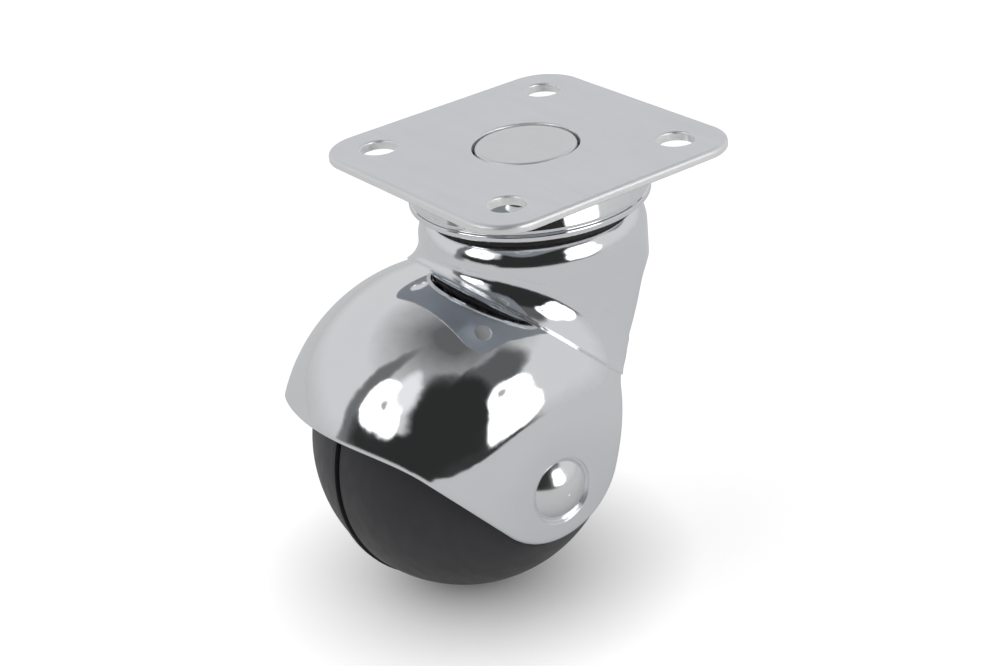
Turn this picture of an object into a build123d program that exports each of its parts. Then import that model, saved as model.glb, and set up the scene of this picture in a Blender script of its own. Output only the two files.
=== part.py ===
"""Ball castor with a square top plate, a chromed hood and a two-part ball.

Millimetres, +Z up. The origin is the middle of the plate's top face, on the
swivel axis. The axle lies along X and the ball trails toward -Y.
"""
import os
from math import atan2, cos, degrees, radians, sin, sqrt, tan

from build123d import *

os.makedirs("parts", exist_ok=True)

# Ball and its place under the plate
ball_r = 25.0
ball_gap = 2.7
trail = 17.7

# Top plate
plate_side = 50.0
plate_t = 1.5
plate_corner_r = 7.5
plate_edge_r = 0.7
plate_under_edge_r = 0.3
hole_spacing = 34.0
hole_r = 3.0
hole_rim_r = 0.35
centre_hole_r = 8.75

# Swivel bearing
cup_t = 1.2
cup_bend_r = 0.72
cup_r = 19.4
cup_crease_depth = 6.7
lip_proud = 0.3
lip_h = 2.1
lip_bend_r = 0.54
head_gap = 0.45
head_sunk = 0.12
head_t = 2.5
head_edge_r = 0.5
shank_r = 4.4
shank_clear = 0.5
rivet_w = 1.5
rivet_h = 2.2
rivet_edge_h = 0.9
washer_w = 3.1
boss_w = 4.0
boss_drop = 1.6
upper_ball_r = 1.5
upper_pitch_r = 6.5
upper_count = 13
lower_ball_r = 2.0
lower_count = 21
race_t = 1.2
race_half_w = 2.1
race_play = 0.08
groove_depth = 0.45
seal_clear = 0.8
seal_w = 1.4
seal_rise = 0.8
fit_gap = 0.4

# Hood
shell_t = 2.5
dome_drop = 1.6
cheek_out = 1.0
cheek_t = 2.1
cheek_blend_r = 20.0
neck_inset = 0.65
neck_t = 2.4
shoulder_below_lip = 1.3
shoulder_w = 2.2
shoulder_h = 4.3
crown_t = 2.6
skirt_tilt = 43.1
skirt_front_w = 0.72
skirt_sink = 9.7
skirt_proud = 0.4
skirt_fade = 0.8
skirt_end_w = 0.9
skirt_slices = 10
collar_depth = 20.5
lip_edge_r = 0.55

# Opening edge of the hood seen along the axle, measured from the axle
brow_height = 12.1
brow_r = 13.0
brow_fall = 48.0
ear_r = 13.0
ear_shift = -0.6
ear_rise = 4.4
back_slope = 68.0
waist_height = 11.6
waist_run = 3.6
waist_lift = 1.7
waist_r = 2.5
nape_slope = 58.8
nape_corner_r = 5.0

# Axle
axle_r = 3.0
cap_r = 5.2
cap_h = 2.4
cap_recess = 0.6
cap_gap = 0.35
washer_t = 0.5
running_gap = 0.05
side_play = 0.15

# Ball halves
ball_wall = 2.6
seam_gap = 0.5
seam_depth = 1.6
rim_round = 0.45
band_proud = 0.35
band_w = 1.0
hub_r = 6.2
sleeve_r = 4.2
rib_t = 1.6
rib_count = 6
bush_len = 6.7
bush_flange_t = 0.8
bush_flange_r = 5.6
spigot_t = 1.2
spigot_len = 2.5

# Levels worked out from the sizes above, all measured down from the plate's top face
plate_under = -plate_t
cup_under = plate_under - cup_t
lip_under = -cup_crease_depth - lip_h
shoulder_z = lip_under - shoulder_below_lip
shoulder_foot = shoulder_z - shoulder_h
head_under = -head_sunk - head_t
upper_ball_z = head_under - upper_ball_r
cup_floor = upper_ball_z - upper_ball_r
cup_floor_under = cup_floor - cup_t
lower_ball_z = cup_under - lower_ball_r
race_top = lower_ball_z - lower_ball_r
race_under = race_top - race_t
crown_under = shoulder_z - crown_t
neck_r = cup_r - neck_inset
seal_out = cup_r + lip_proud - cup_t - seal_clear
race_out = seal_out - seal_w
race_in = race_out - 2 * race_half_w
lower_pitch_r = race_out - race_half_w
shell_r = ball_r + ball_gap + shell_t
cheek_half = ball_r + cheek_out
axle_z = shoulder_foot - dome_drop - shell_r
axle_y = -trail
head_r = centre_hole_r - head_gap
dish_r = centre_hole_r + fit_gap
cheek_in = cheek_half - cheek_t
pole_half = cheek_in - washer_t - side_play - bush_flange_t
cap_base = cheek_half - cap_recess
bore_r = axle_r + running_gap
boss_under = crown_under - boss_drop
washer_under = boss_under - race_t

# Two measures nearer than this are the same place
same = 0.01
low_end = (Align.CENTER, Align.CENTER, Align.MIN)


def at_axle(shape):
    """Carry a shape drawn about the ball's centre to its place under the plate."""
    return Pos(0, axle_y, axle_z) * shape


def tube(outer, inner, height):
    """Upright tube standing on z = 0."""
    return Cylinder(outer, height, align=low_end) - Cylinder(inner, height, align=low_end)


def ball_ring(radius, pitch, count, height):
    """Full ring of loose bearing balls, one solid each."""
    balls = []
    for i in range(count):
        balls.append(Rot(0, 0, i * 360 / count) * Pos(pitch, 0, height) * Sphere(radius))
    return Compound(children=balls)


def groove(radius, pitch, height, touch):
    """Track a little wider than its balls, touching them on top (touch 1) or underneath (touch -1)."""
    return Pos(0, 0, height - touch * race_play) * Torus(pitch, radius + race_play)


def turned(outline):
    """Solid of revolution about Z from a closed run of (radius, height) points."""
    face = make_face(Polyline(*[(r, 0, z) for r, z in outline], close=True))
    return revolve(face, Axis.Z, 360)


# Top plate: blanked steel with rounded corners, four screw holes and a kingpin hole
plate = extrude(RectangleRounded(plate_side, plate_side, plate_corner_r), -plate_t)
plate = fillet(plate.faces().sort_by(Axis.Z)[-1].outer_wire().edges(), plate_edge_r)
plate = fillet(plate.faces().sort_by(Axis.Z)[0].outer_wire().edges(), plate_under_edge_r)
screw_holes = GridLocations(hole_spacing, hole_spacing, 2, 2) * Cylinder(hole_r, 4 * plate_t)
plate = plate - screw_holes - Cylinder(centre_hole_r, 4 * plate_t)
top_rims = plate.faces().sort_by(Axis.Z)[-1].inner_wires().edges()
plate = fillet(top_rims, hole_rim_r)
export_step(plate, "parts/top_plate.step")

# Raceway cup: pressed dish spot-welded under the plate, with a rolled lip at its mouth
crease_z = -cup_crease_depth
cup = turned([
    (shank_r + shank_clear, cup_floor),
    (dish_r, cup_floor),
    (dish_r, plate_under),
    (cup_r, plate_under),
    (cup_r, crease_z),
    (cup_r + lip_proud, crease_z - lip_proud),
    (cup_r + lip_proud, lip_under),
    (cup_r + lip_proud - cup_t, lip_under),
    (cup_r + lip_proud - cup_t, crease_z - lip_proud),
    (cup_r - cup_t, crease_z),
    (cup_r - cup_t, cup_under),
    (dish_r + cup_t, cup_under),
    (dish_r + cup_t, cup_floor_under),
    (shank_r + shank_clear, cup_floor_under),
])


def ring_edges(shape, radius, height):
    """Circular edges of a turned piece at one radius and height."""
    near = []
    for edge in shape.edges().filter_by(GeomType.CIRCLE):
        same_r = abs(edge.radius - radius) < same
        same_z = abs(edge.center().Z - height) < same
        if same_r and same_z:
            near.append(edge)
    return near


cup = fillet(ring_edges(cup, cup_r, plate_under), cup_bend_r)
cup = fillet(ring_edges(cup, cup_r + lip_proud, lip_under), lip_bend_r)
cup = fillet(ring_edges(cup, cup_r + lip_proud, crease_z - lip_proud), lip_proud)
cup = fillet(ring_edges(cup, dish_r + cup_t, cup_floor_under), cup_bend_r)
cup -= groove(upper_ball_r, upper_pitch_r, upper_ball_z, -1)
cup -= groove(lower_ball_r, lower_pitch_r, lower_ball_z, 1)
export_step(cup, "parts/raceway_cup.step")

# Kingpin: round head flush in the plate, shank down through the cup, riveted end
shank_len = head_under - washer_under
kingpin = Pos(0, 0, head_under) * Cylinder(head_r, head_t, align=low_end)
kingpin = fillet(ring_edges(kingpin, head_r, -head_sunk), head_edge_r)
kingpin += Pos(0, 0, washer_under) * Cylinder(shank_r, shank_len, align=low_end)
rivet_end = turned([
    (0, washer_under),
    (shank_r + rivet_w, washer_under),
    (shank_r + rivet_w - rivet_edge_h, washer_under - rivet_h + rivet_edge_h),
    (shank_r - rivet_edge_h, washer_under - rivet_h),
    (0, washer_under - rivet_h),
])
kingpin += rivet_end
kingpin -= groove(upper_ball_r, upper_pitch_r, upper_ball_z, 1)
export_step(kingpin, "parts/kingpin.step")

# Washer under the hood's crown that the kingpin is riveted against
washer = Pos(0, 0, washer_under) * tube(shank_r + washer_w, shank_r, race_t)
export_step(washer, "parts/kingpin_washer.step")

# Bearing balls: a small ring carries uplift, a large ring carries the load
upper = ball_ring(upper_ball_r, upper_pitch_r, upper_count, upper_ball_z)
export_step(upper, "parts/upper_balls.step")
lower = ball_ring(lower_ball_r, lower_pitch_r, lower_count, lower_ball_z)
export_step(lower, "parts/lower_balls.step")

# Lower race: hardened ring seated on the hood's crown
race = Pos(0, 0, race_under) * tube(race_out, race_in, race_t + groove_depth)
race -= groove(lower_ball_r, lower_pitch_r, lower_ball_z, -1)
export_step(race, "parts/lower_race.step")

# Dust seal: black ring on the hood's shoulder, just inside the cup's lip
seal = Pos(0, 0, shoulder_z) * tube(seal_out, race_out, shoulder_below_lip + seal_rise)
export_step(seal, "parts/dust_seal.step")


def cheeked_ball(radius, half, blend):
    """Ball with flat cheeks at both ends of the X axis, blended in by a rounded shoulder."""
    across = half - blend
    out = sqrt((radius - blend) ** 2 - across ** 2)
    lean = degrees(atan2(out, across))
    outline = [
        Line((-half, 0), (half, 0)),
        Line((half, 0), (half, out)),
        CenterArc((across, out), blend, 0, lean),
        CenterArc((0, 0), radius, lean, 180 - 2 * lean),
        CenterArc((-across, out), blend, 180 - lean, lean),
        Line((-half, out), (-half, 0)),
    ]
    return Rot(-90, 0, 0) * revolve(make_face(outline), Axis.X, 360)


def opening_tool():
    """Everything below the hood's opening edge: brow, ears and arched back, cut along the axle."""
    far = 3 * shell_r
    fall = radians(brow_fall)
    climb = radians(back_slope)
    front = (ear_shift - ear_r * sin(fall), ear_rise - ear_r * cos(fall))
    back = (ear_shift + ear_r * sin(climb), ear_rise - ear_r * cos(climb))
    waist = (back[0] + (waist_height - back[1]) / tan(climb), waist_height)
    nape = (waist[0] + waist_run, waist[1] + waist_lift)
    brow_low = brow_height - brow_r * (1 - cos(fall))
    run = (brow_low - front[1]) / sin(fall)
    brow_end = (front[0] - run * cos(fall), brow_low)
    brow_start = (brow_end[0] - brow_r * sin(fall), brow_height)
    arch = -axle_z - collar_depth
    corner = (nape[0] + (arch - nape[1]) / tan(radians(nape_slope)), arch)
    outline = [
        Line((-far, brow_height), brow_start),
        CenterArc((brow_start[0], brow_height - brow_r), brow_r, 90, -brow_fall),
        Line(brow_end, front),
        CenterArc((ear_shift, ear_rise), ear_r, 270 - brow_fall, brow_fall + back_slope),
        Line(back, waist),
        Line(waist, nape),
        Line(nape, corner),
        Line(corner, (far, arch)),
        Line((far, arch), (far, -far)),
        Line((far, -far), (-far, -far)),
        Line((-far, -far), (-far, brow_height)),
    ]
    tool = extrude(Plane.YZ * make_face(outline), far, both=True)
    for point, radius in ((waist, waist_r), (nape, waist_r), (corner, nape_corner_r)):
        for edge in tool.edges().filter_by(Axis.X):
            place = edge.center()
            if abs(place.Y - point[0]) < same and abs(place.Z - point[1]) < same:
                tool = fillet(edge, radius)
                break
    return at_axle(tool)


# Hood: one die casting, a cheeked dome over the ball growing out of the swivel neck
def neck_body():
    """Upright neck with a wide rounded shoulder under the bearing."""
    round_r = (shoulder_w ** 2 + shoulder_h ** 2) / (2 * shoulder_w)
    lean = degrees(atan2(shoulder_h, round_r - shoulder_w))
    outline = [
        Line((0, axle_z), (neck_r, axle_z)),
        Line((neck_r, axle_z), (neck_r, shoulder_foot)),
        CenterArc((neck_r - round_r, shoulder_foot), round_r, 0, lean),
        Line((neck_r - shoulder_w, shoulder_z), (0, shoulder_z)),
        Line((0, shoulder_z), (0, axle_z)),
    ]
    return revolve(Plane.XZ * make_face(outline), Axis.Z, 360)


def rim_foot(turn):
    """Where the skirt's rim meets the dome, at one turn round the swivel axis: radius and height.

    The rim lies in a plane that leans back from the front of the hood.
    """
    front = cos(radians(turn))
    brink = neck_r + skirt_front_w
    brink_up = sqrt(shell_r ** 2 - (brink - trail) ** 2)
    fall = tan(radians(skirt_tilt)) * front
    above = brink_up - tan(radians(skirt_tilt)) * brink
    a = 1 + fall ** 2
    b = above * fall - trail * front
    c = trail ** 2 + above ** 2 - shell_r ** 2
    radius = (-b + sqrt(b ** 2 - a * c)) / a
    return radius, axle_z + above + fall * radius


def skirt_section(turn):
    """Slice of the flared skirt at one turn: a hollow sweep from the neck out to a low rim."""
    front = cos(radians(turn))
    side = sin(radians(turn))
    foot_r, foot_z = rim_foot(turn)
    lean = atan2(foot_z - axle_z, foot_r - trail * front)
    proud = skirt_proud * (1 - (1 - front) ** 2 / skirt_fade)
    rim = (foot_r + proud * cos(lean), foot_z + proud * sin(lean))
    root = (foot_r - 2 * skirt_proud * cos(lean), foot_z - 2 * skirt_proud * sin(lean))
    start_z = shoulder_foot - skirt_sink * (1 - front) ** 2
    out = rim[0] - neck_r
    down = start_z - rim[1]
    sweep_r = (out ** 2 + down ** 2) / (2 * out)
    sweep = degrees(atan2(down, sweep_r - out))
    inside = neck_r - neck_t
    outline = [
        Line((inside, start_z), (neck_r, start_z)),
        CenterArc((neck_r + sweep_r, start_z), sweep_r, 180, sweep),
        Line(rim, root),
        Line(root, (inside, root[1] - skirt_proud)),
        Line((inside, root[1] - skirt_proud), (inside, start_z)),
    ]
    return Plane((0, 0, 0), x_dir=(side, -front, 0), z_dir=(-front, -side, 0)) * make_face(outline)


def skirt_body():
    """Skirt lofted through its slices, as far round each side as its rim stands clear of the neck."""
    last = 180
    while rim_foot(last)[0] < neck_r + skirt_end_w:
        last -= 1
    step = 2 * last / skirt_slices
    return loft([skirt_section(i * step - last) for i in range(skirt_slices + 1)])


def rim_edges(shape):
    """Curved edges round the faces left by the opening cut, which runs straight along the axle."""
    found = []
    for face in shape.faces().filter_by(GeomType.PLANE) + shape.faces().filter_by(GeomType.CYLINDER):
        leans = [abs(face.normal_at(u, 0.5).X) for u in (0.1, 0.5, 0.9)]
        on_top = abs(face.center().Z - shoulder_z) < same
        if max(leans) > same or on_top:
            continue
        for edge in face.edges():
            if edge.geom_type != GeomType.LINE or abs(edge.tangent_at(0.5).X) < 1 - same:
                found.append(edge)
    return found


opening = opening_tool()
dome = at_axle(cheeked_ball(shell_r, cheek_half, cheek_blend_r)) - opening
dome = fillet(rim_edges(dome), lip_edge_r)
neck = neck_body() - opening
neck = fillet(rim_edges(neck), lip_edge_r)
platform = Pos(0, 0, crown_under) * Cylinder(race_out, race_under - crown_under, align=low_end)
hood = dome + neck + (skirt_body() - opening) + platform
cavity_blend = cheek_blend_r - (shell_t + cheek_t) / 2
cavity = at_axle(cheeked_ball(shell_r - shell_t, cheek_in, cavity_blend))
cavity += Pos(0, 0, axle_z) * Cylinder(neck_r - neck_t, crown_under - axle_z, align=low_end)
cavity -= Pos(0, 0, boss_under) * Cylinder(shank_r + boss_w, shell_r, align=low_end)
hood = hood - cavity - Cylinder(shank_r, -4 * axle_z)
axle_hole = Rot(0, 90, 0) * Cylinder(axle_r, 3 * cheek_half)
recesses = Rot(0, 90, 0) * (Cylinder(cap_r + cap_gap, 2 * cheek_half) - Cylinder(2 * cap_r, 2 * cap_base))
hood -= at_axle(axle_hole + recesses)
export_step(hood, "parts/hood.step")

# Axle: steel pin with a domed head on one side and a pressed-on domed cap on the other
dome_r = (cap_r ** 2 + cap_h ** 2) / (2 * cap_h)
dome_head = Pos(0, 0, cap_h - dome_r) * Sphere(dome_r)
dome_head &= Cylinder(cap_r, cap_h, align=low_end)
pin_len = 2 * cap_base + cap_h / 2
pin = Pos(0, 0, -cap_base - cap_h / 2) * Cylinder(axle_r, pin_len, align=low_end)
pin += Pos(0, 0, cap_base) * dome_head
export_step(at_axle(Rot(0, 90, 0) * pin), "parts/axle_pin.step")
cap = Pos(0, 0, cap_base) * (dome_head - Cylinder(axle_r, cap_h))
export_step(at_axle(Rot(0, -90, 0) * cap), "parts/axle_cap.step")

# Thrust washers between the ball's bushes and the hood's cheeks
washer_in = cheek_in - washer_t
spacer = Pos(0, 0, washer_in) * tube(bush_flange_r, bore_r, washer_t)
spacers = Compound(children=[at_axle(Rot(0, 90, 0) * spacer), at_axle(Rot(0, -90, 0) * spacer)])
export_step(spacers, "parts/thrust_washers.step")

# Hub bushes and spacer tube: the ball turns on these
spacer_half = pole_half - bush_len
bush = Pos(0, 0, spacer_half) * tube(sleeve_r, bore_r, bush_len)
bush += Pos(0, 0, pole_half) * tube(bush_flange_r, bore_r, bush_flange_t)
bushes = Compound(children=[at_axle(Rot(0, 90, 0) * bush), at_axle(Rot(0, -90, 0) * bush)])
export_step(bushes, "parts/hub_bushes.step")
spacer_tube = Pos(0, 0, -spacer_half) * tube(sleeve_r, bore_r + fit_gap, 2 * spacer_half)
export_step(at_axle(Rot(0, 90, 0) * spacer_tube), "parts/hub_tube.step")


def ball_half():
    """Moulded half of the ball about Z: joint face at z = 0, flat pole upward."""
    inner_r = ball_r - ball_wall
    half = Sphere(ball_r) & Cylinder(ball_r, pole_half, align=low_end)
    half -= Sphere(inner_r) & Cylinder(ball_r, pole_half - ball_wall, align=low_end)
    half -= tube(2 * ball_r, ball_r - seam_depth, seam_gap / 2)
    rim_r = sqrt(ball_r ** 2 - seam_gap ** 2 / 4)
    half = fillet(ring_edges(half, rim_r, seam_gap / 2), rim_round)
    hub_foot = running_gap
    half += Pos(0, 0, hub_foot) * Cylinder(hub_r, pole_half - hub_foot, align=low_end)
    rib_foot = spigot_len + fit_gap
    rib_len = pole_half - rib_foot - ball_wall / 2
    web = Pos(0, 0, rib_foot + rib_len / 2) * Box(2 * ball_r, rib_t, rib_len)
    web &= Sphere(inner_r + ball_wall / 2)
    for i in range(rib_count // 2):
        half += Rot(0, 0, i * 360 / rib_count) * web
    return half - Cylinder(sleeve_r, 4 * ball_r)


# Near half of the ball, black plastic, its rim stepped back to leave the seam groove
near_half = ball_half()
export_step(at_axle(Rot(0, 90, 0) * near_half), "parts/ball_half_near.step")

# Far half: carries the spigot that centres the two halves and a raised band beside the seam
far_half = ball_half()
spigot_out = sqrt((ball_r - ball_wall) ** 2 - spigot_len ** 2) - running_gap
root = Pos(0, 0, seam_gap / 2) * tube(ball_r - ball_wall / 2, spigot_out - spigot_t, spigot_len)
plug = Pos(0, 0, -spigot_len) * tube(spigot_out, spigot_out - spigot_t, spigot_len + seam_gap)
band = Pos(0, 0, seam_gap / 2) * tube(ball_r + band_proud, ball_r - seam_depth, band_w)
band = fillet(ring_edges(band, ball_r + band_proud, seam_gap / 2 + band_w), band_proud / 2)
far_half = far_half + root + plug + band
export_step(at_axle(Rot(0, -90, 0) * far_half), "parts/ball_half_far.step")
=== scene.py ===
import math

import bmesh
import bpy
from mathutils import Matrix, Vector


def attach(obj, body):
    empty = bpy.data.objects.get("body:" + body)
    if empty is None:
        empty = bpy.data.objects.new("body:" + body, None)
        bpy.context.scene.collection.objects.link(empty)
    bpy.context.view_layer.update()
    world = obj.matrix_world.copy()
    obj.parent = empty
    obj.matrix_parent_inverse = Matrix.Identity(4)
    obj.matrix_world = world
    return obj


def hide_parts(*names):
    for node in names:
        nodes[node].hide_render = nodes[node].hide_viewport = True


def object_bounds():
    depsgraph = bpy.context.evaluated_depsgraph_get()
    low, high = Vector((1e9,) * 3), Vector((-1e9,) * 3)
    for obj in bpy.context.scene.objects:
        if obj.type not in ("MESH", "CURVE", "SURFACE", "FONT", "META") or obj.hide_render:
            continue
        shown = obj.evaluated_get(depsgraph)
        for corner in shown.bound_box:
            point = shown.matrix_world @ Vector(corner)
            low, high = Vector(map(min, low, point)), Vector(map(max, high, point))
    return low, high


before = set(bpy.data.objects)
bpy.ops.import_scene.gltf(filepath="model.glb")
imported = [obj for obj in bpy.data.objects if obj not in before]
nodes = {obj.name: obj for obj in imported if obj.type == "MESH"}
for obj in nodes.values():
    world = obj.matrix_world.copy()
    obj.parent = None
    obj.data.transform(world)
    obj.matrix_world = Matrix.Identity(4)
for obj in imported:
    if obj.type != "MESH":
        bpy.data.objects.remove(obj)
cad_low, cad_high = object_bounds()


# Top plate: a square blanked from rolled sheet steel, with four screw holes and a large hole
# for the kingpin, zinc plated to a soft cool grey over the sheet's faint rolling lines. Its side
# faces get a painted highlight in white, and its downward faces a painted shade in slate.
plate_metallic = 0.85
plate_tones = ((0.83, 0.85, 0.88), (0.89, 0.905, 0.935))
# Painted shade: the slate that the plate's downward faces are given.
plate_underside_shade = (0.43, 0.465, 0.505)
# Painted highlight: the near white that the plate's side faces are given.
plate_edge_highlight = (1.0, 1.0, 1.0)
plate_patch = 0.012
plate_roughness = (0.40, 0.48)
rolling_width = 0.0016
rolling_run = (0.06, 1.0, 1.0)
rolling_depth = 0.000004


def bare_material(name, metallic=0.0):
    """New material with its shader, ready to be fed from a piece's own Object coordinates."""
    material = bpy.data.materials.new(name)
    material.use_nodes = True
    tree = material.node_tree
    shader = tree.nodes["Principled BSDF"]
    shader.inputs["Metallic"].default_value = metallic
    return material, tree, shader, tree.nodes.new("ShaderNodeTexCoord")


def clouds(tree, place, size, detail, stretch=(1.0, 1.0, 1.0), centre=(0.0, 0.0, 0.0)):
    """Noise with blotches about `size` metres across, drawn out along an axis where wanted."""
    lay = tree.nodes.new("ShaderNodeMapping")
    lay.inputs["Location"].default_value = centre
    lay.inputs["Scale"].default_value = stretch
    noise = tree.nodes.new("ShaderNodeTexNoise")
    noise.inputs["Scale"].default_value = 1.0 / size
    noise.inputs["Detail"].default_value = detail
    tree.links.new(place.outputs["Object"], lay.inputs["Vector"])
    tree.links.new(lay.outputs["Vector"], noise.inputs["Vector"])
    return noise.outputs["Fac"]


def sum_of(tree, kind, first, second=None, third=None):
    """One step of arithmetic on numbers and on the outputs of other nodes."""
    step = tree.nodes.new("ShaderNodeMath")
    step.operation = kind
    for socket, value in zip(step.inputs, (first, second, third)):
        if isinstance(value, (int, float)):
            socket.default_value = value
        elif value is not None:
            tree.links.new(value, socket)
    return step.outputs[0]


def between(tree, fac, low, high, start=0.35, end=0.65):
    """Number that runs from low to high as fac runs from start to end."""
    span = tree.nodes.new("ShaderNodeMapRange")
    span.inputs["From Min"].default_value = start
    span.inputs["From Max"].default_value = end
    span.inputs["To Min"].default_value = low
    span.inputs["To Max"].default_value = high
    tree.links.new(fac, span.inputs["Value"])
    return span.outputs["Result"]


def two_tone(tree, fac, first, second):
    """Colour that shifts with fac from first, itself a colour or a mix of them, to second."""
    tone = tree.nodes.new("ShaderNodeMix")
    tone.data_type = "RGBA"
    if isinstance(first, tuple):
        tone.inputs["A"].default_value = (*first, 1.0)
    else:
        tree.links.new(first, tone.inputs["A"])
    tone.inputs["B"].default_value = (*second, 1.0)
    tree.links.new(fac, tone.inputs["Factor"])
    return tone.outputs["Result"]


def relief(tree, height, depth, under=None):
    """Surface relief of a given depth in metres, laid over another relief where there is one."""
    bump = tree.nodes.new("ShaderNodeBump")
    bump.inputs["Distance"].default_value = depth
    bump.inputs["Strength"].default_value = 1.0
    tree.links.new(height, bump.inputs["Height"])
    if under:
        tree.links.new(under, bump.inputs["Normal"])
    return bump.outputs["Normal"]


def coat(tree, shader, colour, roughness, normal):
    """Feed a shader its colour, its roughness and its relief."""
    tree.links.new(colour, shader.inputs["Base Color"])
    tree.links.new(roughness, shader.inputs["Roughness"])
    tree.links.new(normal, shader.inputs["Normal"])


def finish(node, material):
    """Give a solid its material, in place of any that it had."""
    piece = nodes[node]
    piece.data.materials.clear()
    piece.data.materials.append(material)


plate_zinc, tree, shader, place = bare_material("zinc plated sheet", plate_metallic)
patches = clouds(tree, place, plate_patch, 3.0)
lines = clouds(tree, place, rolling_width, 3.0, stretch=rolling_run)
facing = tree.nodes.new("ShaderNodeSeparateXYZ")
tree.links.new(place.outputs["Normal"], facing.inputs[0])
upward = facing.outputs["Z"]
# Painted shade: faces turned downward are coloured slate.
shaded_underside = between(tree, upward, 1.0, 0.0, start=-0.9, end=-0.5)
# Painted highlight: faces turned sideways are lightened towards white.
edges = between(tree, sum_of(tree, "ABSOLUTE", upward), 1.0, 0.0, start=0.3, end=0.8)
plate_colour = two_tone(tree, patches, *plate_tones)
plate_colour = two_tone(tree, shaded_underside, plate_colour, plate_underside_shade)
plate_colour = two_tone(tree, edges, plate_colour, plate_edge_highlight)
coat(tree, shader, plate_colour, between(tree, lines, *plate_roughness),
     relief(tree, lines, rolling_depth))
finish("top_plate", plate_zinc)


# Kingpin: turned steel, its round head flush in the plate and its end riveted under the hood.
# The head is faced on a lathe, so its plating has rings about the swivel axis, finer than
# the plate's rolling lines.
head_metallic = 0.85
head_tones = ((0.82, 0.83, 0.85), (0.88, 0.89, 0.91))
head_patch = 0.006
head_roughness = (0.38, 0.46)
facing_pitch = 0.00035
facing_wobble = 1.2
facing_depth = 0.000003


def rings(tree, place, pitch, wobble):
    """Turning rings about the swivel axis, `pitch` metres apart."""
    along = tree.nodes.new("ShaderNodeVectorMath")
    along.operation = "PROJECT"
    along.inputs[1].default_value = (0.0, 0.0, 1.0)
    tree.links.new(place.outputs["Object"], along.inputs[0])
    across = tree.nodes.new("ShaderNodeVectorMath")
    across.operation = "SUBTRACT"
    tree.links.new(place.outputs["Object"], across.inputs[0])
    tree.links.new(along.outputs["Vector"], across.inputs[1])
    wave = tree.nodes.new("ShaderNodeTexWave")
    wave.wave_type = "RINGS"
    wave.rings_direction = "SPHERICAL"
    wave.inputs["Scale"].default_value = 0.3 / pitch
    wave.inputs["Distortion"].default_value = wobble
    wave.inputs["Detail"].default_value = 2.0
    tree.links.new(across.outputs["Vector"], wave.inputs["Vector"])
    return wave.outputs["Fac"]


head_zinc, tree, shader, place = bare_material("zinc plated turning", head_metallic)
turning = rings(tree, place, facing_pitch, facing_wobble)
patches = clouds(tree, place, head_patch, 3.0)
coat(tree, shader, two_tone(tree, patches, *head_tones),
     between(tree, turning, *head_roughness, start=0.2, end=0.8),
     relief(tree, turning, facing_depth))
finish("kingpin", head_zinc)


# Raceway cup: a dish pressed from thin sheet and spot welded under the plate. Its wall flares
# to a crease and ends in a rolled bead. It is polished and chrome plated, bright enough to
# mirror the room, with faint rings where it was spun. The outline is its section in millimetres.
cup_outline = (
    (4.9, -5.62),
    (9.15, -5.62),
    (9.15, -1.5),
    (17.1, -1.5),
    (17.75, -2.5),
    (19.45, -6.95),
    (19.28, -7.3),
    (19.7, -7.65),
    (19.7, -8.5),
    (18.6, -8.5),
    (18.45, -7.2),
    (16.5, -2.7),
    (10.35, -2.7),
    (10.35, -6.82),
    (4.9, -6.82),
)
cup_bend = 0.00032
cup_bend_segments = 5
cup_steps = 192
cup_sharp_angle = math.radians(40)
cup_tones = ((0.83, 0.84, 0.86), (0.885, 0.895, 0.915))
cup_haze = 0.009
cup_haze_depth = 0.00003
cup_roughness = (0.035, 0.08)
spun_width = 0.0011
spun_run = (0.05, 0.05, 1.0)
spun_depth = 0.0000035

cup = bmesh.new()
bends = [cup.verts.new((radius / 1000, 0, height / 1000)) for radius, height in cup_outline]
for i, bend in enumerate(bends):
    cup.edges.new((bends[i - 1], bend))
bmesh.ops.bevel(cup, geom=bends, offset=cup_bend, offset_type="OFFSET",
                segments=cup_bend_segments, profile=0.5, affect="VERTICES",
                clamp_overlap=True, material=-1)
bmesh.ops.spin(cup, geom=cup.verts[:] + cup.edges[:], cent=(0, 0, 0), axis=(0, 0, 1),
               angle=2 * math.pi, steps=cup_steps, use_merge=True)
bmesh.ops.remove_doubles(cup, verts=cup.verts, dist=0.000001)
bmesh.ops.recalc_face_normals(cup, faces=cup.faces)
for face in cup.faces:
    face.smooth = True
cup_mesh = bpy.data.meshes.new("flared_cup")
cup.to_mesh(cup_mesh)
cup.free()
cup_mesh.set_sharp_from_angle(angle=cup_sharp_angle)
flared_cup = bpy.data.objects.new("flared_cup", cup_mesh)
bpy.context.collection.objects.link(flared_cup)

cup_chrome, tree, shader, place = bare_material("chromed pressing", 1.0)
haze = clouds(tree, place, cup_haze, 3.0)
spun = relief(tree, clouds(tree, place, spun_width, 2.0, stretch=spun_run), spun_depth)
coat(tree, shader, two_tone(tree, haze, *cup_tones), between(tree, haze, *cup_roughness),
     relief(tree, haze, cup_haze_depth, under=spun))
cup_mesh.materials.append(cup_chrome)
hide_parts("raceway_cup")
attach(flared_cup, "plate")


# Bearing: two rings of loose steel balls, the ring-shaped lower race that they run on, and the
# washer that the kingpin is riveted against. All are hardened steel, ground bright and wet with
# grease, and hardly any of it shows.
bearing_tones = ((0.52, 0.52, 0.53), (0.62, 0.62, 0.63))
bearing_roughness = (0.16, 0.3)
grinding_width = 0.0004
grinding_run = (1.0, 1.0, 0.2)
grinding_depth = 0.000002

bearing_steel, tree, shader, place = bare_material("ground bearing steel", 1.0)
grinding = clouds(tree, place, grinding_width, 2.0, stretch=grinding_run)
coat(tree, shader, two_tone(tree, grinding, *bearing_tones),
     between(tree, grinding, *bearing_roughness), relief(tree, grinding, grinding_depth))
for node in ("upper_balls", "lower_balls", "lower_race", "kingpin_washer"):
    finish(node, bearing_steel)


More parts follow.
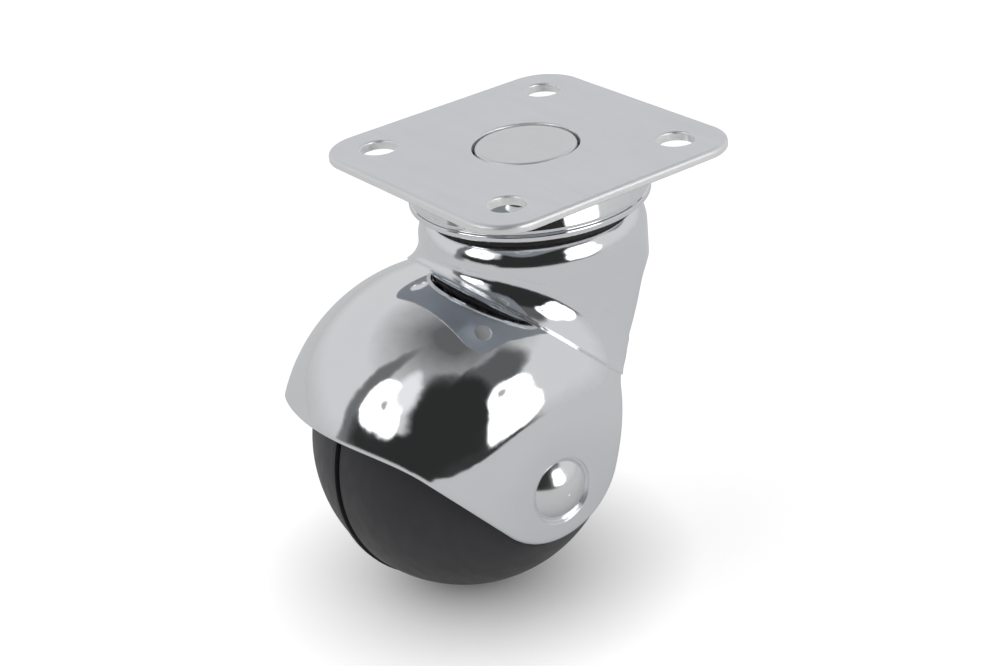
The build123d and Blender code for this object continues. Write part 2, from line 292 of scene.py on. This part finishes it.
# Dust seal: a moulded ring of black rubber that lies on the hood's shoulder just inside the
# cup's lip. It is matt, with a fine grain and a trace of grey dust.
seal_tones = ((0.010, 0.010, 0.011), (0.022, 0.022, 0.023))
seal_roughness = (0.5, 0.7)
seal_dust = 0.003
seal_grain = 0.00025
seal_grain_depth = 0.00002

seal_rubber, tree, shader, place = bare_material("seal rubber")
dust = clouds(tree, place, seal_dust, 4.0)
grain = clouds(tree, place, seal_grain, 2.0)
coat(tree, shader, two_tone(tree, dust, *seal_tones), between(tree, dust, *seal_roughness),
     relief(tree, grain, seal_grain_depth))
finish("dust_seal", seal_rubber)


# Hood: a zinc die casting, buffed on soft wheels and bright chrome plated. The buffing softens
# its creases and leaves a surface that is smooth to the touch yet not quite true, so that its
# reflections swim a little, and small parts of the plating are hazier than the rest.
hood_tones = ((0.85, 0.868, 0.895), (0.885, 0.90, 0.925))
hood_roughness = (0.03, 0.07)
hood_haze = 0.006
hood_haze_centre = (0.3, 0.1, 0.2)
hood_swim = 0.011
hood_swim_depth = 0.00006
hood_pit = 0.0012
hood_pit_depth = 0.0000015
hood_crease = 0.0006
hood_crease_samples = 6

hood_chrome, tree, shader, place = bare_material("chromed casting", 1.0)
swim = clouds(tree, place, hood_swim, 1.0)
haze = clouds(tree, place, hood_haze, 4.0, centre=hood_haze_centre)
pits = clouds(tree, place, hood_pit, 3.0)
creases = tree.nodes.new("ShaderNodeBevel")
creases.samples = hood_crease_samples
creases.inputs["Radius"].default_value = hood_crease
buffed = relief(tree, swim, hood_swim_depth, under=creases.outputs["Normal"])
coat(tree, shader, two_tone(tree, haze, *hood_tones), between(tree, haze, *hood_roughness),
     relief(tree, pits, hood_pit_depth, under=buffed))
finish("hood", hood_chrome)


# Axle: a steel pin with a domed head, and a domed cap pressed on its other end. Both domes are
# turned, polished and chrome plated like the hood, and are seated in its two cheeks. The thrust
# washers and the tube between the hub bushes are plain ground steel.
dome_tones = ((0.84, 0.845, 0.86), (0.89, 0.895, 0.905))
dome_roughness = (0.12, 0.18)
dome_smear = 0.003
dome_smear_depth = 0.000012

dome_chrome, tree, shader, place = bare_material("chromed dome", 1.0)
smear = clouds(tree, place, dome_smear, 3.0)
coat(tree, shader, two_tone(tree, smear, *dome_tones), between(tree, smear, *dome_roughness),
     relief(tree, smear, dome_smear_depth))
for node in ("axle_pin", "axle_cap"):
    finish(node, dome_chrome)
for node in ("thrust_washers", "hub_tube"):
    finish(node, bearing_steel)


# Hub bushes: a flanged pair moulded in natural nylon, which turn on the axle. They are a milky
# off-white with a soft sheen.
bush_tones = ((0.68, 0.66, 0.58), (0.76, 0.74, 0.67))
bush_roughness = (0.4, 0.52)
bush_milk = 0.002
bush_milk_depth = 0.00001

bush_nylon, tree, shader, place = bare_material("bush nylon")
milk = clouds(tree, place, bush_milk, 3.0)
coat(tree, shader, two_tone(tree, milk, *bush_tones), between(tree, milk, *bush_roughness),
     relief(tree, milk, bush_milk_depth))
finish("hub_bushes", bush_nylon)


# Ball: two hollow halves moulded in black nylon, pressed together on a spigot. The mould was
# spark eroded to a fine even grain, which turns the gloss into a broad grey sheen, and the
# running face has a few faint scuffs round it.
ball_tones = ((0.022, 0.021, 0.026), (0.031, 0.030, 0.036))
ball_roughness = (0.42, 0.54)
ball_sheen = 0.12
ball_sheen_roughness = 0.6
ball_grain = 0.00018
ball_grain_depth = 0.000010
ball_flow = 0.009
ball_flow_depth = 0.00002
scuff_width = 0.0016
scuff_run = (1.0, 0.4, 0.4)

ball_plastic, tree, shader, place = bare_material("black ball nylon")
grain = clouds(tree, place, ball_grain, 2.0)
flow = clouds(tree, place, ball_flow, 3.0)
scuffs = clouds(tree, place, scuff_width, 3.0, stretch=scuff_run)
shader.inputs["Sheen Weight"].default_value = ball_sheen
shader.inputs["Sheen Roughness"].default_value = ball_sheen_roughness
moulded = relief(tree, grain, ball_grain_depth)
coat(tree, shader, two_tone(tree, flow, *ball_tones), between(tree, scuffs, *ball_roughness),
     relief(tree, flow, ball_flow_depth, under=moulded))
for node in ("ball_half_near", "ball_half_far"):
    finish(node, ball_plastic)


# Floor: a wide round sheet of white paper that the ball stands on, laid a hair below it. It
# glows white to the camera and less so in the chrome, with a painted shadow in its glow under
# the ball.
floor_radius = 3.0
floor_drop = 0.00005
floor_segments = 96
paper_tone = (0.62, 0.62, 0.62, 1.0)
paper_white = (1.0, 1.0, 1.0, 1.0)
glow_to_camera = 0.70
glow_in_metal = 0.15
# Painted shadow: how far the occlusion that dims the paper's glow reaches.
painted_shadow_reach = 0.021
painted_shadow_samples = 12

sheet = bmesh.new()
bmesh.ops.create_circle(sheet, cap_ends=True, segments=floor_segments, radius=floor_radius)
bmesh.ops.translate(sheet, verts=sheet.verts, vec=(0, 0, cad_low.z - floor_drop))
sheet_mesh = bpy.data.meshes.new("floor")
sheet.to_mesh(sheet_mesh)
sheet.free()
floor = bpy.data.objects.new("floor", sheet_mesh)
bpy.context.collection.objects.link(floor)

paper, tree, shader, _ = bare_material("white paper")
shader.inputs["Base Color"].default_value = paper_tone
shader.inputs["Roughness"].default_value = 1.0
shader.inputs["Specular IOR Level"].default_value = 0.0
shader.inputs["Emission Color"].default_value = paper_white
# Painted shadow: ambient occlusion dims the paper's glow close under the ball.
painted_shadow = tree.nodes.new("ShaderNodeAmbientOcclusion")
painted_shadow.samples = painted_shadow_samples
painted_shadow.inputs["Distance"].default_value = painted_shadow_reach
rays = tree.nodes.new("ShaderNodeLightPath").outputs
mirrored = sum_of(tree, "ADD", rays["Is Glossy Ray"], rays["Is Transmission Ray"])
glow = sum_of(tree, "MULTIPLY", mirrored, glow_in_metal)
glow = sum_of(tree, "MULTIPLY_ADD", rays["Is Camera Ray"], glow_to_camera, glow)
glow = sum_of(tree, "MULTIPLY", glow, painted_shadow.outputs["AO"])
tree.links.new(glow, shader.inputs["Emission Strength"])
floor.data.materials.append(paper)


# Studio: a pale room with two soft boxes and a dark side between them, painted on the world by
# compass direction and height, so that the chrome has something to mirror from every side.
# Azimuth 0 looks along -Y, and both angles are in degrees.
wall_light = 0.84
ceiling_light = 0.16
wall_top = 42.0
ceiling_start = 80.0
sway_scale = 3.0
sway_detail = 6.0
sway_roughness = 0.6
sway_reach = 7.0
backdrop_white = (1.0, 1.0, 1.0, 1.0)
studio_patches = (
    # strength, west, east, bottom, top, softness, squareness
    (0.64, -400, 400, -95, 4, 0.25, 2.0),  # floor of the room
    (0.14, 22, 135, 40, 66, 0.2, 4.0),  # dim curtain above the dark side
    (0.2, -31, -19, 4, 65, 0.35, 4.0),  # edge of the left soft box's frame
    (0.035, 16, 92, -17, 62, 0.12, 4.0),  # dark side
    (0.035, -22, 40, 6, 26, 0.15, 4.0),  # dark side, under the left soft box
    (0.05, 50, 112, -19, 7, 0.2, 4.0),  # dark side, under the right soft box
    (3.4, -23, 9, 20, 49, 0.12, 3.0),  # left soft box
    (1.1, -6, 16, 38, 60, 0.4, 2.0),  # spill above it
    (3.4, 85, 119, 3, 41, 0.12, 3.0),  # right soft box
    (0.5, -11, -5, 32, 38, 0.5, 2.0),  # lamp holder in the left one
    (0.5, 94, 100, 32, 37, 0.5, 2.0),  # lamp holder in the right one
)

scene = bpy.context.scene
scene.view_settings.view_transform = "Standard"
world = bpy.data.worlds.new("studio")
scene.world = world
world.use_nodes = True
sky = world.node_tree
sky.nodes.clear()

way = sky.nodes.new("ShaderNodeTexCoord")
sway = sky.nodes.new("ShaderNodeTexNoise")
sway.inputs["Scale"].default_value = sway_scale
sway.inputs["Detail"].default_value = sway_detail
sway.inputs["Roughness"].default_value = sway_roughness
sky.links.new(way.outputs["Generated"], sway.inputs["Vector"])
unevenness = sum_of(sky, "MULTIPLY_ADD", sway.outputs["Fac"], 2 * sway_reach, -sway_reach)
parts = sky.nodes.new("ShaderNodeSeparateXYZ")
sky.links.new(way.outputs["Generated"], parts.inputs[0])
forward = sum_of(sky, "MULTIPLY", parts.outputs["Y"], -1.0)
compass = sum_of(sky, "DEGREES", sum_of(sky, "ARCTAN2", parts.outputs["X"], forward))
compass = sum_of(sky, "ADD", compass, unevenness)
height = sum_of(sky, "DEGREES", sum_of(sky, "ARCSINE", parts.outputs["Z"]))
height = sum_of(sky, "ADD", height, unevenness)


def area(west, east, bottom, top, softness, squareness):
    """1 inside a rounded patch of the sky, falling to 0 over its soft edge."""
    reach = []
    for value, low, high in ((compass, west, east), (height, bottom, top)):
        off = sum_of(sky, "SUBTRACT", value, (low + high) / 2)
        off = sum_of(sky, "ABSOLUTE", sum_of(sky, "DIVIDE", off, (high - low) / 2))
        reach.append(sum_of(sky, "POWER", off, squareness))
    edge = sky.nodes.new("ShaderNodeMapRange")
    edge.interpolation_type = "SMOOTHSTEP"
    edge.inputs["From Min"].default_value = (1.0 - softness) ** squareness
    edge.inputs["From Max"].default_value = (1.0 + softness) ** squareness
    edge.inputs["To Min"].default_value = 1.0
    edge.inputs["To Max"].default_value = 0.0
    sky.links.new(sum_of(sky, "ADD", *reach), edge.inputs["Value"])
    return edge.outputs["Result"]


def over(under, strength, mask):
    """Lay a patch of a given strength over the light so far."""
    mix = sky.nodes.new("ShaderNodeMix")
    mix.data_type = "FLOAT"
    sky.links.new(mask, mix.inputs["Factor"])
    sky.links.new(under, mix.inputs["A"])
    mix.inputs["B"].default_value = strength
    return mix.outputs["Result"]


light = between(sky, height, wall_light, ceiling_light, start=wall_top, end=ceiling_start)
for strength, *patch in studio_patches:
    light = over(light, strength, area(*patch))

# The camera itself sees plain white behind the floor.
room = sky.nodes.new("ShaderNodeBackground")
sky.links.new(light, room.inputs["Strength"])
backdrop = sky.nodes.new("ShaderNodeBackground")
backdrop.inputs["Color"].default_value = backdrop_white
seen = sky.nodes.new("ShaderNodeLightPath")
pick = sky.nodes.new("ShaderNodeMixShader")
sky.links.new(seen.outputs["Is Camera Ray"], pick.inputs[0])
sky.links.new(room.outputs[0], pick.inputs[1])
sky.links.new(backdrop.outputs[0], pick.inputs[2])
result = sky.nodes.new("ShaderNodeOutputWorld")
sky.links.new(pick.outputs[0], result.inputs["Surface"])


# Key light: one broad soft lamp from the left, which lays the ball's shadow to the right. The
# chrome is set to mirror the painted room and not the lamp.
key_energy = 0.45
key_spread = math.radians(48)
key_azimuth = math.radians(-48.0)
key_elevation = math.radians(62.0)

key = bpy.data.lights.new("key", "SUN")
key.energy = key_energy
key.angle = key_spread
key_lamp = bpy.data.objects.new("key", key)
bpy.context.collection.objects.link(key_lamp)
key_lamp.visible_glossy = False
key_way = Vector((
    math.sin(key_azimuth) * math.cos(key_elevation),
    -math.cos(key_azimuth) * math.cos(key_elevation),
    math.sin(key_elevation),
))
key_lamp.rotation_euler = key_way.to_track_quat("Z", "Y").to_euler()


# Camera: a long lens above the open side of the hood, looking down at the plate. Its three
# directions and its place were fitted to the plate, the ball and the axle in the photograph.
lens_length = 75.41
film_width = 36.0
camera_right = Vector((0.608087, 0.789493, -0.083250))
camera_down = Vector((0.313733, -0.335317, -0.888332))
camera_ahead = Vector((-0.729247, 0.514065, -0.451592))
camera_place = Vector((0.251693, -0.185885, 0.124827))

lens = bpy.data.cameras.new("camera")
lens.lens = lens_length
lens.sensor_width = film_width
eye = bpy.data.objects.new("camera", lens)
bpy.context.collection.objects.link(eye)
stand = Matrix((camera_right, -camera_down, -camera_ahead)).transposed().to_4x4()
stand.translation = camera_place
eye.matrix_world = stand
scene.camera = eye
